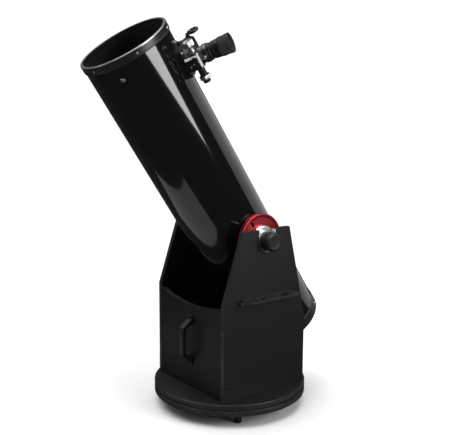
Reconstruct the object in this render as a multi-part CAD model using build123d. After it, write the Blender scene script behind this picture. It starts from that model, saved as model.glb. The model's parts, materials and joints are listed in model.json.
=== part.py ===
from build123d import *
import math
import os

# Dobsonian reflector, 10-inch aperture, in millimetres.
# Origin: on the floor under the azimuth bolt. +Z up, -Y the way the tube leans, X along the
# altitude axis. Tube pieces are drawn in the tube's own frame: local Z runs up the tube from
# the altitude pivot, local X is the world X, local Y is the tube's upper side.

# Altitude pivot and attitude at rest
pivot_y = 3.8
pivot_z = 644.3
tilt = 56.1

# Tube
tube_radius = 152.0
tube_wall = 1.2
ring_radius = 155.7
ring_lip_radius = 145.0
front_reach = 803.0
rear_reach = 449.0
ring_cap = 2.5
front_ring_length = 27.0
rear_ring_length = 40.0
screw_phase = 41.0

# Optics
mirror_radius = 127.0
mirror_thickness = 34.0
mirror_face = -345.0
focal_length = 1250.0
diagonal_radius = 31.5
diagonal_thickness = 9.0
vane_along = 734.0

# Focuser and finder, placed by angle round the tube and distance along it
focuser_angle = 40.5
focuser_along = 663.0
drawtube_radius = 28.0
barrel_radius = 25.4
shaft_out = 38.0
shaft_height = 204.0
finder_angle = 68.5
finder_along = 690.0
finder_ring_height = 220.0
finder_dial_place = (-12.0, 201.0)

# Altitude bearings, distances along X
disc_radius = 92.0
disc_inner_x = 153.5
disc_outer_x = 172.0
hub_radius = 52.0
drum_radius = 34.9
panel_inner_x = 186.5
panel_outer_x = 204.5
knob_radius = 34.0
knob_inner_x = 208.1
knob_outer_x = 245.0

# Rocker box and ground board
board_radius = 285.0
foot_height = 45.0
ground_top = 65.0
rocker_low = 68.0
rocker_top = 88.0
panel_front_y = -185.0
panel_rear_y = 190.0
panel_top_z = 685.6
front_face_y = -183.0
board_thickness = 18.0
liner_radius = 35.0
liner_wall = 2.0
foot_circle = 225.0
bolt_radius = 6.0
fit_gap = 0.05

tube_frame = Plane(
    origin=(0, pivot_y, pivot_z),
    x_dir=(1, 0, 0),
    z_dir=(0, -math.cos(math.radians(tilt)), math.sin(math.radians(tilt))),
)
mirror_back = mirror_face - mirror_thickness
inner_radius = tube_radius - tube_wall


# ---------- shapes used all over ----------

def rod(radius, low, high):
    return Pos(0, 0, (low + high) / 2) * Cylinder(radius, high - low)


def ring(outer, inner, low, high):
    return rod(outer, low, high) - rod(inner, low - 1, high + 1)


def block(x_low, x_high, y_low, y_high, z_low, z_high):
    centre = Pos((x_low + x_high) / 2, (y_low + y_high) / 2, (z_low + z_high) / 2)
    return centre * Box(x_high - x_low, y_high - y_low, z_high - z_low)


def turned(points):
    """A closed outline of (radius, height) points, spun about Z."""
    return revolve(Plane.XZ * make_face(Polyline(*points, close=True)), Axis.Z)


def along_x(x, y=0.0, z=0.0):
    """A frame whose Z points along +X and whose X points along +Z."""
    return Plane(origin=(x, y, z), x_dir=(0, 0, 1), z_dir=(1, 0, 0)).location


def radial(angle, radius, along):
    """A frame on the tube: Z points outward at this angle, X points up the tube."""
    outward = (math.cos(math.radians(angle)), math.sin(math.radians(angle)), 0)
    origin = (radius * outward[0], radius * outward[1], along)
    return Plane(origin=origin, x_dir=(0, 0, 1), z_dir=outward).location


def around(count, start, shape):
    return [Rot(0, 0, start + i * 360 / count) * shape for i in range(count)]


def grip(radius, low, high, ridges, groove):
    """A knob with bevelled ends and round flutes cut down its side."""
    bevel = min(1.5, (high - low) / 6)
    outline = [
        (0, low),
        (radius - bevel, low),
        (radius, low + bevel),
        (radius, high - bevel),
        (radius - bevel, high),
        (0, high),
    ]
    flute = Pos(radius + groove * 0.35, 0, 0) * rod(groove, low - 1, high + 1)
    return turned(outline) - around(ridges, 0, flute)


def button_screw(head_radius, head_height, shank_radius, length):
    """Head above z = 0 with a hexagon socket, shank below it."""
    shoulder = head_radius * 0.7
    head = turned([(0, 0), (head_radius, 0), (head_radius, head_height * 0.45),
                   (shoulder, head_height), (0, head_height)])
    socket = extrude(RegularPolygon(shank_radius * 0.9, 6), head_height)
    return head - Pos(0, 0, head_height * 0.4) * socket + rod(shank_radius, -length, 0)


def save(name, shape, frame=None):
    pieces = shape if isinstance(shape, list) else [shape]
    place = frame.location if frame else Location()
    solids = [place * solid for piece in pieces for solid in piece.solids()]
    whole = solids[0] if len(solids) == 1 else Compound(children=solids)
    export_step(whole, f"parts/{name}.step")


# ---------- ground board ----------

def foot_spots():
    return [Pos(*place) for place in foot_centres()]


def foot_centres():
    angles = [math.radians(-30 + 120 * i) for i in range(3)]
    return [(foot_circle * math.cos(a), foot_circle * math.sin(a), 0) for a in angles]


def feet():
    """Screw-in feet: a tapered rubber foot with its moulded-in stud."""
    foot = turned([(0, 0), (11.5, 0), (12.5, 2), (13.5, foot_height), (0, foot_height)])
    foot += rod(4.0, foot_height, foot_height + 14)
    return [spot * foot for spot in foot_spots()]


def azimuth_bolt():
    head = extrude(RegularPolygon(11, 6), 8)
    bolt = Pos(0, 0, foot_height - 8) * head + rod(bolt_radius, foot_height - 0.5, 106)
    washer = ring(16, bolt_radius, rocker_top + 0.3, rocker_top + 2.3)
    nut = Pos(0, 0, rocker_top + 2.3) * extrude(RegularPolygon(11, 6), 10)
    nut -= rod(bolt_radius, rocker_top, rocker_top + 20)
    return [bolt, washer, nut]


def ground_board():
    board = turned([(0, foot_height), (board_radius - 1.5, foot_height),
                    (board_radius, foot_height + 1.5), (board_radius, ground_top - 1.5),
                    (board_radius - 1.5, ground_top), (0, ground_top)])
    return board - azimuth_bolt()[0] - feet()


def azimuth_pads():
    """Slippery pads over the feet that carry the rocker box."""
    pads = []
    for i, (x, y, _) in enumerate(foot_centres()):
        pad = block(-15, 15, -30, 30, ground_top, rocker_low - 0.6)
        pads.append(Pos(x, y, 0) * Rot(0, 0, -30 + 120 * i) * pad)
    return pads


# ---------- rocker box ----------

def panel_screws():
    """Four cap screws through the side panels, six countersunk screws up from below."""
    screws = []
    for side in (1, -1):
        for height in (145, 385):
            screw = Rot(0, 90 * side, 0) * button_screw(5.5, 1.8, 2.5, 58)
            screws.append(Pos(side * panel_outer_x, front_face_y + 9, height) * screw)
        for y in (-140, 0, 140):
            screw = turned([(0, 0), (5, 0), (2.5, 3.5), (2.5, 62), (0, 62)])
            screws.append(Pos(side * (panel_inner_x + 9), y, rocker_low) * screw)
    return screws


def rocker_board():
    board = turned([(0, rocker_low), (board_radius - 1.5, rocker_low),
                    (board_radius, rocker_low + 1.5), (board_radius, rocker_top - 1.5),
                    (board_radius - 1.5, rocker_top), (0, rocker_top)])
    return board - rod(bolt_radius + fit_gap, rocker_low - 1, rocker_top + 1) - panel_screws()


def azimuth_track():
    return ring(248, 202, rocker_low - 0.5, rocker_low)


def side_panel(side):
    outline = Polyline(
        (panel_front_y, rocker_top),
        (panel_front_y, 440),
        (-102.5, panel_top_z),
        (108.7, panel_top_z),
        (panel_rear_y, 343),
        (panel_rear_y, rocker_top),
        close=True,
    )
    panel = extrude(Plane.YZ.offset(panel_inner_x) * make_face(outline), board_thickness,
                    dir=(1, 0, 0))
    panel = chamfer(panel.edges().filter_by(Axis.X, reverse=True), 1.0)
    notch = liner_radius + liner_wall
    panel -= along_x(panel_inner_x - 1, pivot_y, pivot_z) * rod(notch, 0, 20)
    panel -= block(panel_inner_x - 1, panel_outer_x + 1, pivot_y - notch, pivot_y + notch,
                   pivot_z, panel_top_z + 1)
    if side < 0:
        panel = mirror(panel, about=Plane.YZ)
    cuts = panel_screws()
    if side > 0:
        cuts += shelf_screws()
    return panel - cuts


def front_panel():
    low = rocker_top
    shoulder = 425.0
    middle = 398.0
    edges = [
        Line((-panel_inner_x, low), (panel_inner_x, low)),
        Line((panel_inner_x, low), (panel_inner_x, shoulder)),
        ThreePointArc((panel_inner_x, shoulder), (0, middle), (-panel_inner_x, shoulder)),
        Line((-panel_inner_x, shoulder), (-panel_inner_x, low)),
    ]
    face = Plane.XZ.offset(-front_face_y) * make_face(edges)
    panel = extrude(face, board_thickness, dir=(0, 1, 0))
    return panel - panel_screws() - handle_screws()


def cradle_liners():
    """Plastic U-shaped liners in the panels' notches, where the altitude drums turn."""
    outer = liner_radius + liner_wall
    u_shape = along_x(panel_inner_x, pivot_y, pivot_z) * ring(outer, liner_radius, 0, 18)
    u_shape -= block(0, 300, -100, 100, pivot_z, pivot_z + 100)
    for edge in (-outer, liner_radius):
        u_shape += block(panel_inner_x, panel_outer_x, pivot_y + edge,
                         pivot_y + edge + liner_wall, pivot_z, panel_top_z - 3)
    return [u_shape, mirror(u_shape, about=Plane.YZ)]


handle_x = 6.0
handle_ends = (355.0, 182.0)


def handle_screws():
    screw = button_screw(4.5, 2.6, 2.2, 22)
    face = front_face_y - 5
    return [Pos(handle_x, face, z) * Rot(90, 0, 0) * screw for z in handle_ends]


def carry_handle():
    """A bent strap handle with a flat foot at each end."""
    top, low = handle_ends
    reach = front_face_y - 45
    outline = Polyline(
        (front_face_y, top + 9), (front_face_y - 5, top + 9), (front_face_y - 5, top - 8),
        (front_face_y - 12, top - 9), (reach, top - 34), (reach, low + 34),
        (front_face_y - 12, low + 9), (front_face_y - 5, low + 8), (front_face_y - 5, low - 9),
        (front_face_y, low - 9), (front_face_y, low + 27), (front_face_y - 8, low + 27),
        (reach + 15, low + 42), (reach + 15, top - 42), (front_face_y - 8, top - 27),
        (front_face_y, top - 27), close=True)
    bar = extrude(Plane.YZ.offset(handle_x - 12) * make_face(outline), 24, dir=(1, 0, 0))
    bar = chamfer(bar.edges().filter_by(Axis.X, reverse=True), 1.8)
    return bar - handle_screws()


shelf_low = 448.0
shelf_top = 451.0
shelf_reach = 272.0
shelf_front = -113.0
shelf_rear = 116.0
rack_x = 239.0
rack_small = (16.0, (-86.0, -45.0, -4.0))
rack_large = (25.6, 56.0)


def shelf_screws():
    screws = []
    for y in (-120, -12, 95):
        screw = Rot(0, 90, 0) * button_screw(4.5, 2.6, 2.2, 14)
        screws.append(Pos(panel_outer_x + 3, y, shelf_low - 11) * screw)
    return screws


def eyepiece_shelf():
    """Folded steel rack with three 1.25-inch holes and one 2-inch hole."""
    plate = block(panel_outer_x, shelf_reach, shelf_front, shelf_rear, shelf_low, shelf_top)
    corners = plate.edges().filter_by(Axis.Z).group_by(Axis.X)[-1]
    plate = fillet(corners, 12)
    plate += block(panel_outer_x, panel_outer_x + 3, shelf_front, shelf_rear,
                   shelf_low - 21, shelf_low)
    radius, places = rack_small
    for y in places:
        plate -= Pos(rack_x, y, 0) * rod(radius, shelf_low - 1, shelf_top + 1)
    radius, y = rack_large
    plate -= Pos(rack_x, y, 0) * rod(radius, shelf_low - 1, shelf_top + 1)
    return plate - shelf_screws()


def fitting_screws():
    return handle_screws() + shelf_screws()


# ---------- tube, rings and spider ----------

def ring_screws():
    screw = button_screw(4.5, 2.4, 2.0, 7)
    front = [radial(screw_phase + 60 * k, ring_radius, 787) * screw for k in range(6)]
    rear = [radial(screw_phase + 60 * k, ring_radius, -428) * screw for k in range(6)]
    return front + rear


def vane_bolts():
    """Knurled nuts outside the tube with studs that pull the spider vanes tight."""
    bolt = grip(7.0, 0, 6, 12, 0.9) + rod(2.5, -12, 0) + rod(3.2, 5.5, 8)
    return [radial(screw_phase + 90 * k, tube_radius, vane_along) * bolt for k in range(4)]


def focuser_bolts():
    """Four through-bolts for the focuser and two for the finder shoe."""
    place = radial(focuser_angle, 0, focuser_along)
    bolt = button_screw(4.0, 2.5, 2.0, 31)
    spots = [(u, w) for u in (-40, 40) for w in (-35, 35)]
    bolts = [place * Pos(u, w, 170) * bolt for u, w in spots]
    place = radial(finder_angle, 0, finder_along)
    bolt = button_screw(3.0, 1.8, 1.5, 5)
    return bolts + [place * Pos(u, 0, 151) * bolt for u in (-19, 19)]


def tube_screws():
    return ring_screws() + focuser_bolts()


def optical_tube():
    shell = ring(tube_radius, inner_radius, -rear_reach + ring_cap, front_reach - ring_cap)
    shell -= radial(focuser_angle, 0, focuser_along) * rod(30, 100, 200)
    return shell - tube_screws() - vane_bolts() - bearing_bolts()


def end_ring(length, reach):
    lip = reach - ring_cap
    ring_body = turned([
        (tube_radius, reach - length),
        (ring_radius - 1, reach - length),
        (ring_radius, reach - length + 1),
        (ring_radius, reach - 1.6),
        (ring_radius - 1.6, reach),
        (ring_lip_radius + 1, reach),
        (ring_lip_radius, reach - 1),
        (ring_lip_radius, lip),
        (tube_radius, lip),
    ])
    return ring_body


def front_ring():
    return end_ring(front_ring_length, front_reach) - ring_screws()


def rear_ring():
    flipped = mirror(end_ring(rear_ring_length, rear_reach), about=Plane.XY)
    return flipped - ring_screws()


def spider():
    """Hub, four thin vanes and the end blocks that the vane bolts thread into."""
    hub = ring(24, 3.0, vane_along - 12, vane_along + 10)
    vane = block(22, 140, -0.6, 0.6, vane_along - 12, vane_along + 12)
    vane += block(138, inner_radius - 0.8, -5, 5, vane_along - 12, vane_along + 12)
    body = hub
    for arm in around(4, screw_phase, vane):
        body += arm
    return body - vane_bolts() - secondary_screws()


diagonal_normal = Vector(math.cos(math.radians(focuser_angle)),
                         math.sin(math.radians(focuser_angle)), -1).normalized()
holder_top = 712.0


def behind_diagonal(depth):
    """A large block in front of the plane that lies this deep behind the diagonal's face."""
    centre = Vector(0, 0, focuser_along) + diagonal_normal * (100 - depth)
    side = Vector(-math.sin(math.radians(focuser_angle)),
                  math.cos(math.radians(focuser_angle)), 0)
    return Plane(origin=centre, x_dir=side, z_dir=diagonal_normal).location * Box(300, 300, 200)


def secondary_mirror():
    """An elliptical flat at 45 degrees that turns the light out to the focuser."""
    column = rod(diagonal_radius, focuser_along - 60, focuser_along + 60)
    return (column & behind_diagonal(diagonal_thickness)) - behind_diagonal(0)


def secondary_screws():
    """Centre bolt and three collimation screws of the diagonal."""
    centre = Pos(0, 0, vane_along + 10) * button_screw(6, 4, 3, vane_along + 10 - 704)
    small = Pos(14, 0, vane_along + 10) * button_screw(3.2, 3, 1.8, vane_along + 10 - holder_top)
    return [centre] + around(3, 0, small)


def secondary_holder():
    column = rod(diagonal_radius - 1.5, focuser_along - 60, holder_top)
    return column - behind_diagonal(diagonal_thickness) - secondary_screws()


# ---------- primary mirror and its cell ----------

arm_angles = (90, 210, 330)
collimation_circle = 112.0
frame_low = -445.0
frame_top = -438.0
carrier_low = -391.0
carrier_top = -381.0


def primary_mirror():
    """A thick disc whose front is hollowed to twice the focal length's radius."""
    curve = 2 * focal_length
    edge = mirror_radius - 1.5
    height = math.sqrt(curve ** 2 - edge ** 2)
    hollow = Pos(0, 0, mirror_face + height) * Sphere(curve)
    return rod(mirror_radius, mirror_back, mirror_face) - hollow


def mirror_carrier():
    """Floating ring with three spokes and nine pads under the mirror."""
    body = ring(121, 101, carrier_low, carrier_top) + ring(30, 12, carrier_low, carrier_top)
    for angle in arm_angles:
        body += Rot(0, 0, angle) * block(25, 105, -11, 11, carrier_low, carrier_top)
        for radius, turn in ((45, 0), (108, 25), (108, -25)):
            pad = Pos(radius, 0, 0) * rod(8, carrier_top - 1, mirror_back)
            body += Rot(0, 0, angle + turn) * pad
        hole = Pos(collimation_circle, 0, 0) * rod(3 + fit_gap, carrier_low - 1, mirror_back)
        body -= Rot(0, 0, angle) * hole
    return body


def mirror_clips():
    gap = 0.5
    foot = block(108, 134, -10, 10, carrier_low - 4, carrier_low)
    post = block(mirror_radius + gap, 134, -10, 10, carrier_low - 4, mirror_face + 3)
    lip = block(mirror_radius - 4, 134, -10, 10, mirror_face + gap, mirror_face + 3)
    return [Rot(0, 0, angle + 60) * (foot + post + lip) for angle in arm_angles]


def cell_frame():
    """Cast frame across the rear of the tube, with the fan's grille in the middle."""
    body = ring(inner_radius, 138, frame_low, -430)
    body += block(-46, 46, -46, 46, frame_low, frame_top)
    for angle in arm_angles:
        body += Rot(0, 0, angle) * block(30, 142, -15, 15, frame_low, frame_top)
    body -= rod(37.6, frame_low - 1, frame_top + 1)
    for radius in (12, 24):
        body += ring(radius + 1.2, radius - 1.2, frame_low, frame_low + 2)
    bar = block(-38, 38, -1.2, 1.2, frame_low, frame_low + 2)
    body = body + bar + Rot(0, 0, 90) * bar
    hole = Pos(collimation_circle, 0, 0) * rod(3 + fit_gap, frame_low - 1, frame_top + 1)
    for angle in arm_angles:
        body -= Rot(0, 0, angle) * hole
    return body - ring_screws()


def cell_springs():
    wire = 1.2
    length = carrier_low - frame_top - 2 * wire
    path = Helix(pitch=length / 6, height=length, radius=8)
    section = Plane(origin=path @ 0, z_dir=path % 0) * Circle(wire)
    coil = sweep(section, path=path)
    place = Pos(collimation_circle, 0, frame_top + wire)
    return [Rot(0, 0, angle) * place * coil for angle in arm_angles]


def collimation_knob(angle):
    """Fluted knob with its bolt, turned to tilt the primary mirror."""
    knob = grip(13, -466, frame_low - 1.5, 8, 3) + rod(3, -450, carrier_top - 1)
    return Rot(0, 0, angle) * Pos(collimation_circle, 0, 0) * knob


fan_low = frame_top
fan_top = -418.0


def fan_frame():
    frame = block(-40, 40, -40, 40, fan_low, fan_top) - rod(37.6, fan_low - 1, fan_top + 1)
    frame += rod(15, fan_low, fan_low + 4)
    strut = block(10, 39, -2, 2, fan_low, fan_low + 3)
    for piece in around(4, 45, strut):
        frame += piece
    return frame + rod(1.5, fan_low + 4, fan_top - 4)


def fan_rotor():
    rotor = rod(16, fan_low + 4.5, fan_top - 1)
    blade = Pos(26, 0, (fan_low + fan_top) / 2 + 1) * Rot(38, 0, 0) * Box(21, 14, 1.4)
    for piece in around(7, 0, blade):
        rotor += piece
    return rotor - rod(1.5 + fit_gap, fan_low, fan_top - 3.5)


# ---------- altitude bearings ----------

def both_sides(shape):
    return [shape, mirror(shape, about=Plane.YZ)]


def bearing_bolts():
    """Hub bolts into the saddles, and saddle bolts from inside the tube."""
    bolts = []
    bolt = rod(3, 150, 178) + rod(5, 178, 183.5)
    for angle in (45, 135, 225, 315):
        y = 43 * math.sin(math.radians(angle))
        z = 43 * math.cos(math.radians(angle))
        bolts += both_sides(along_x(0, y, z) * bolt)
    bolt = rod(5, 142.5, 146.4) + rod(3, 146, 152.5)
    for y in (-30, 30):
        for z in (-52, 68):
            bolts += both_sides(along_x(0, y, z) * bolt)
    return bolts


def altitude_saddles():
    """Pads that carry each bearing on the round tube."""
    pad = block(138, disc_inner_x, -42, 42, -64, 80)
    pad = chamfer(pad.edges().filter_by(Axis.X), 6)
    pad -= rod(tube_radius, -200, 200)
    return [piece - bearing_bolts() for piece in both_sides(pad)]


def altitude_discs():
    """Anodised discs with a raised rim, two grooves and a balance slot."""
    floor = disc_outer_x - 4
    disc = turned([
        (0, disc_inner_x),
        (disc_radius - 1.5, disc_inner_x),
        (disc_radius, disc_inner_x + 1.5),
        (disc_radius, disc_outer_x - 1.5),
        (disc_radius - 1.5, disc_outer_x),
        (disc_radius - 8, disc_outer_x),
        (disc_radius - 11, floor),
        (74, floor),
        (73, floor - 1.5),
        (71, floor - 1.5),
        (70, floor),
        (60, floor),
        (59, floor - 1.5),
        (57, floor - 1.5),
        (56, floor),
        (0, floor),
    ])
    disc = along_x(0) * disc
    slot = along_x(disc_inner_x - 1, 0, 66) * extrude(SlotOverall(24, 9), 20)
    disc -= slot
    disc -= along_x(0) * rod(8, disc_inner_x - 1, disc_outer_x)
    return [piece - bearing_bolts() for piece in both_sides(disc)]


def altitude_hubs():
    """Flange against the disc, and the drum that turns in the rocker box's cradle."""
    hub = turned([
        (5 + fit_gap, disc_outer_x - 4),
        (hub_radius, disc_outer_x - 4),
        (hub_radius, 181),
        (hub_radius - 3, 184),
        (drum_radius, 184),
        (drum_radius, 204.0),
        (drum_radius - 0.8, 204.8),
        (5 + fit_gap, 204.8),
    ])
    hub = along_x(0) * hub
    return [piece - bearing_bolts() for piece in both_sides(hub)]


def altitude_washers():
    washer = along_x(0) * turned([(5 + fit_gap, 204.8), (39.2, 204.8), (40, 205.6),
                                  (40, 207.0), (39.2, 207.8), (5 + fit_gap, 207.8)])
    return both_sides(washer)


def altitude_knob(side):
    """Fluted hand knob with its bolt, screwed in to stiffen the altitude motion."""
    knob = grip(knob_radius, knob_inner_x, knob_outer_x - 6, 24, 2.2)
    knob += turned([(0, knob_outer_x - 7), (knob_radius - 4, knob_outer_x - 7),
                    (knob_radius - 4, knob_outer_x - 2), (knob_radius - 7, knob_outer_x),
                    (0, knob_outer_x)])
    knob += rod(5, 186, knob_inner_x + 1)
    knob = along_x(0) * knob
    return knob if side > 0 else mirror(knob, about=Plane.YZ)


# ---------- focuser, in its own frame: X up the tube, Y to the near side, Z outward ----------

def shaft_line(shape):
    """Lays a shape drawn about Z on the focuser's shaft axis, Z becoming the focuser's X."""
    return Pos(0, shaft_out, shaft_height) * Rot(0, 90, 0) * shape


def focuser_saddle():
    base = block(-46, 46, -42, 42, 138, 166)
    base = chamfer(base.edges().filter_by(Axis.Z), 8)
    base -= Rot(0, 90, 0) * rod(tube_radius, -100, 100)
    return base - rod(30, 100, 200)


def focuser_body():
    plate = block(-46, 46, -42, 42, 166, 170)
    plate = chamfer(plate.edges().filter_by(Axis.Z), 8)
    body = plate + turned([(0, 169), (41, 169), (36, 178), (36, 211), (35, 212), (0, 212)])
    body += block(-26, 26, 20, 48, 169, 190)
    body -= block(-27, 27, 29, 60, 190, 220)
    body -= shaft_line(rod(10.3, -9.5, 9.5))
    return body - rod(drawtube_radius + 0.3, 150, 230)


def shaft_block():
    """Bridge that presses the roller of the shaft against the drawtube."""
    bridge = block(-26, 26, 29, 52, 190, 215.4)
    bridge = chamfer(bridge.edges().filter_by(Axis.X).group_by(Axis.Y)[-1], 3)
    bridge -= rod(drawtube_radius + 0.3, 150, 230)
    bridge -= shaft_line(rod(3 + fit_gap, -40, 40))
    bridge -= shaft_line(rod(10.3, -9.5, 9.5))
    return bridge - Pos(12, 44, 203) * Rot(-90, 0, 0) * rod(2 + fit_gap, 0, 20)


def reducer_housing():
    housing = turned([(3.4, -51), (9.5, -51), (11, -49), (12, -47), (12, -26), (3.4, -26)])
    return shaft_line(housing)


def focus_shaft():
    return shaft_line(rod(3, -62, 62) + rod(9.9, -9, 9))


def coarse_knobs():
    """The two silver focus knobs, the far one with a long neck."""
    far = grip(19, 53, 71, 30, 1.0) + rod(9, 30, 54)
    near = grip(18, -64.5, -51.5, 30, 1.0)
    far -= rod(3, 20, 62)
    near -= rod(3, -62, -40)
    near -= rod(2 + fit_gap, -70, -61.8)
    return [shaft_line(far), shaft_line(near)]


def micro_knob():
    knob = grip(12.5, -77, -66, 24, 0.9) + rod(2, -70, -62.2)
    return shaft_line(knob)


def drawtube():
    outline = [
        (barrel_radius + fit_gap, 142),
        (drawtube_radius, 142),
        (drawtube_radius, 228),
        (30.5, 228),
        (30.5, 240.5),
        (29, 242),
        (barrel_radius + fit_gap, 242),
    ]
    return turned(outline) - Pos(0, 20, 235) * Rot(-90, 0, 0) * rod(2 + fit_gap, 0, 20)


def collar_screw():
    """Thumbscrew that holds the eyepiece in the drawtube's collar."""
    screw = rod(2, 25.9, 44) + grip(4.5, 33, 46, 10, 0.8)
    return Pos(0, 0, 235) * Rot(-90, 0, 0) * screw


def focus_lock_screw():
    screw = rod(2, 48.5, 56) + grip(7, 53, 61, 12, 0.9)
    return Pos(12, 0, 203) * Rot(-90, 0, 0) * screw


def eyepiece_body():
    shell = turned([
        (21, 214), (barrel_radius, 214), (barrel_radius, 242.3), (27.5, 242.3), (28, 243),
        (28, 251), (26, 252.5), (26, 257), (28.5, 260), (29.5, 275), (29.5, 306),
        (19, 306), (19, 262), (21, 258),
    ])
    return shell


def eye_lenses():
    """Field lens and eye lens."""
    field = turned([(0, 218), (20, 219.5), (21, 219.5), (21, 226), (0, 226)])
    eye = turned([(0, 294), (19, 294), (19, 300), (17, 301), (0, 303)])
    return [field, eye]


def eyecup():
    """Flared rubber cup with two grip ribs."""
    return turned([
        (29.5, 282), (31, 282), (31.6, 284), (31.6, 288), (30.8, 290), (31.8, 293),
        (31.8, 297), (31, 299), (32, 306), (33, 316), (33, 320), (31.5, 322),
        (30, 320), (28, 310), (24, 306), (29.5, 306),
    ])


# ---------- finder, in its own frame: X up the tube, Z outward ----------

def finder_shoe():
    shoe = block(-26, 26, -17, 17, 144, 158.5) - Rot(0, 90, 0) * rod(tube_radius, -60, 60)
    channel = Polyline((-11, 159), (-13.5, 153), (13.5, 153), (11, 159), close=True)
    groove = extrude(Plane.YZ.offset(-40) * make_face(channel), 80, dir=(1, 0, 0))
    shoe -= groove
    return shoe - Pos(0, 10, 156) * Rot(-90, 0, 0) * rod(1.5 + fit_gap, 0, 20)


def finder_body():
    """Dovetail foot, stem and lamp housing of the reflex sight."""
    foot = Polyline((-10.2, 160.5), (-13.3, 153), (13.3, 153), (10.2, 160.5), close=True)
    body = extrude(Plane.YZ.offset(-22) * make_face(foot), 44, dir=(1, 0, 0))
    side = Polyline((-20, 160.4), (20, 160.4), (17, 176), (19, 190), (30, 196), (30, 200.5),
                    (17, 203), (11, 213), (-24, 214), (-30, 208), (-30, 196), (-20, 190),
                    (-15, 176), close=True)
    stem = extrude(Plane.XZ.offset(-10) * make_face(side), 20, dir=(0, -1, 0))
    body += chamfer(stem.edges().filter_by(Axis.Y, reverse=True), 1.2)
    along, height = finder_dial_place
    return body - Pos(along, 0, height) * Rot(-90, 0, 0) * rod(2 + fit_gap, 5, 20)


def finder_ring():
    hoop = turned([(16, 24), (18, 23), (20, 25), (20, 31), (18.5, 33), (16, 32)])
    hoop = Pos(0, 0, finder_ring_height) * Rot(0, 90, 0) * hoop
    return hoop - finder_body()


def finder_glass():
    return Pos(0, 0, finder_ring_height) * Rot(0, 90, 0) * rod(16, 27, 29.5)


def finder_dial():
    """Brightness dial on the near side of the sight."""
    dial = grip(8, 10.4, 17, 16, 0.8) + rod(2, 6, 11)
    along, height = finder_dial_place
    return Pos(along, 0, height) * Rot(-90, 0, 0) * dial


def finder_clamp_screw():
    screw = grip(5, 17.6, 27, 12, 0.8) + rod(1.5, 14.0, 19)
    return Pos(0, 0, 156) * Rot(-90, 0, 0) * screw


def on_tube(place, shape):
    pieces = shape if isinstance(shape, list) else [shape]
    return [place * piece for piece in pieces]


def drilled_by_bolts(shape):
    return [piece - focuser_bolts() for piece in shape]


os.makedirs("parts", exist_ok=True)

# Ground board
save("ground_board", ground_board())
save("feet", feet())
save("azimuth_bolt", azimuth_bolt())
save("azimuth_pads", azimuth_pads())

# Rocker box
save("rocker_board", rocker_board())
save("azimuth_track", azimuth_track())
save("side_panel_right", side_panel(1))
save("side_panel_left", side_panel(-1))
save("front_panel", front_panel())
save("panel_screws", panel_screws())
save("cradle_liners", cradle_liners())
save("carry_handle", carry_handle())
save("eyepiece_shelf", eyepiece_shelf())
save("fitting_screws", fitting_screws())

# Tube, spider and mirrors
save("optical_tube", optical_tube(), tube_frame)
save("front_ring", front_ring(), tube_frame)
save("rear_ring", rear_ring(), tube_frame)
save("tube_screws", tube_screws(), tube_frame)
save("spider", spider(), tube_frame)
save("vane_bolts", vane_bolts(), tube_frame)
save("secondary_holder", secondary_holder(), tube_frame)
save("secondary_mirror", secondary_mirror(), tube_frame)
save("secondary_screws", secondary_screws(), tube_frame)
save("primary_mirror", primary_mirror(), tube_frame)
save("mirror_carrier", mirror_carrier(), tube_frame)
save("mirror_clips", mirror_clips(), tube_frame)
save("cell_frame", cell_frame(), tube_frame)
save("cell_springs", cell_springs(), tube_frame)
for number, arm_angle in enumerate(arm_angles, 1):
    save(f"collimation_knob_{number}", collimation_knob(arm_angle), tube_frame)
save("fan_frame", fan_frame(), tube_frame)
save("fan_rotor", fan_rotor(), tube_frame)

# Altitude bearings
save("altitude_saddles", altitude_saddles(), tube_frame)
save("altitude_discs", altitude_discs(), tube_frame)
save("altitude_hubs", altitude_hubs(), tube_frame)
save("bearing_bolts", bearing_bolts(), tube_frame)
save("altitude_washers", altitude_washers(), tube_frame)
save("altitude_knob_right", altitude_knob(1), tube_frame)
save("altitude_knob_left", altitude_knob(-1), tube_frame)

# Focuser and eyepiece
focuser_place = radial(focuser_angle, 0, focuser_along)
for name, shape in {
    "focuser_saddle": focuser_saddle(),
    "focuser_body": focuser_body(),
    "shaft_block": shaft_block(),
    "reducer_housing": reducer_housing(),
    "focus_shaft": focus_shaft(),
    "coarse_knobs": coarse_knobs(),
    "micro_knob": micro_knob(),
    "drawtube": drawtube(),
    "collar_screw": collar_screw(),
    "focus_lock_screw": focus_lock_screw(),
    "eyepiece_body": eyepiece_body(),
    "eye_lenses": eye_lenses(),
    "eyecup": eyecup(),
}.items():
    placed = on_tube(focuser_place, shape)
    if name in ("focuser_saddle", "focuser_body"):
        placed = drilled_by_bolts(placed)
    save(name, placed, tube_frame)

# Finder
finder_place = radial(finder_angle, 0, finder_along)
for name, shape in {
    "finder_shoe": finder_shoe(),
    "finder_body": finder_body(),
    "finder_ring": finder_ring(),
    "finder_glass": finder_glass(),
    "finder_dial": finder_dial(),
    "finder_clamp_screw": finder_clamp_screw(),
}.items():
    placed = on_tube(finder_place, shape)
    if name == "finder_shoe":
        placed = drilled_by_bolts(placed)
    save(name, placed, tube_frame)
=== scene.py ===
import json
import math

import bmesh
import bpy
from mathutils import Matrix, Vector
from mathutils.geometry import tessellate_polygon


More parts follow.
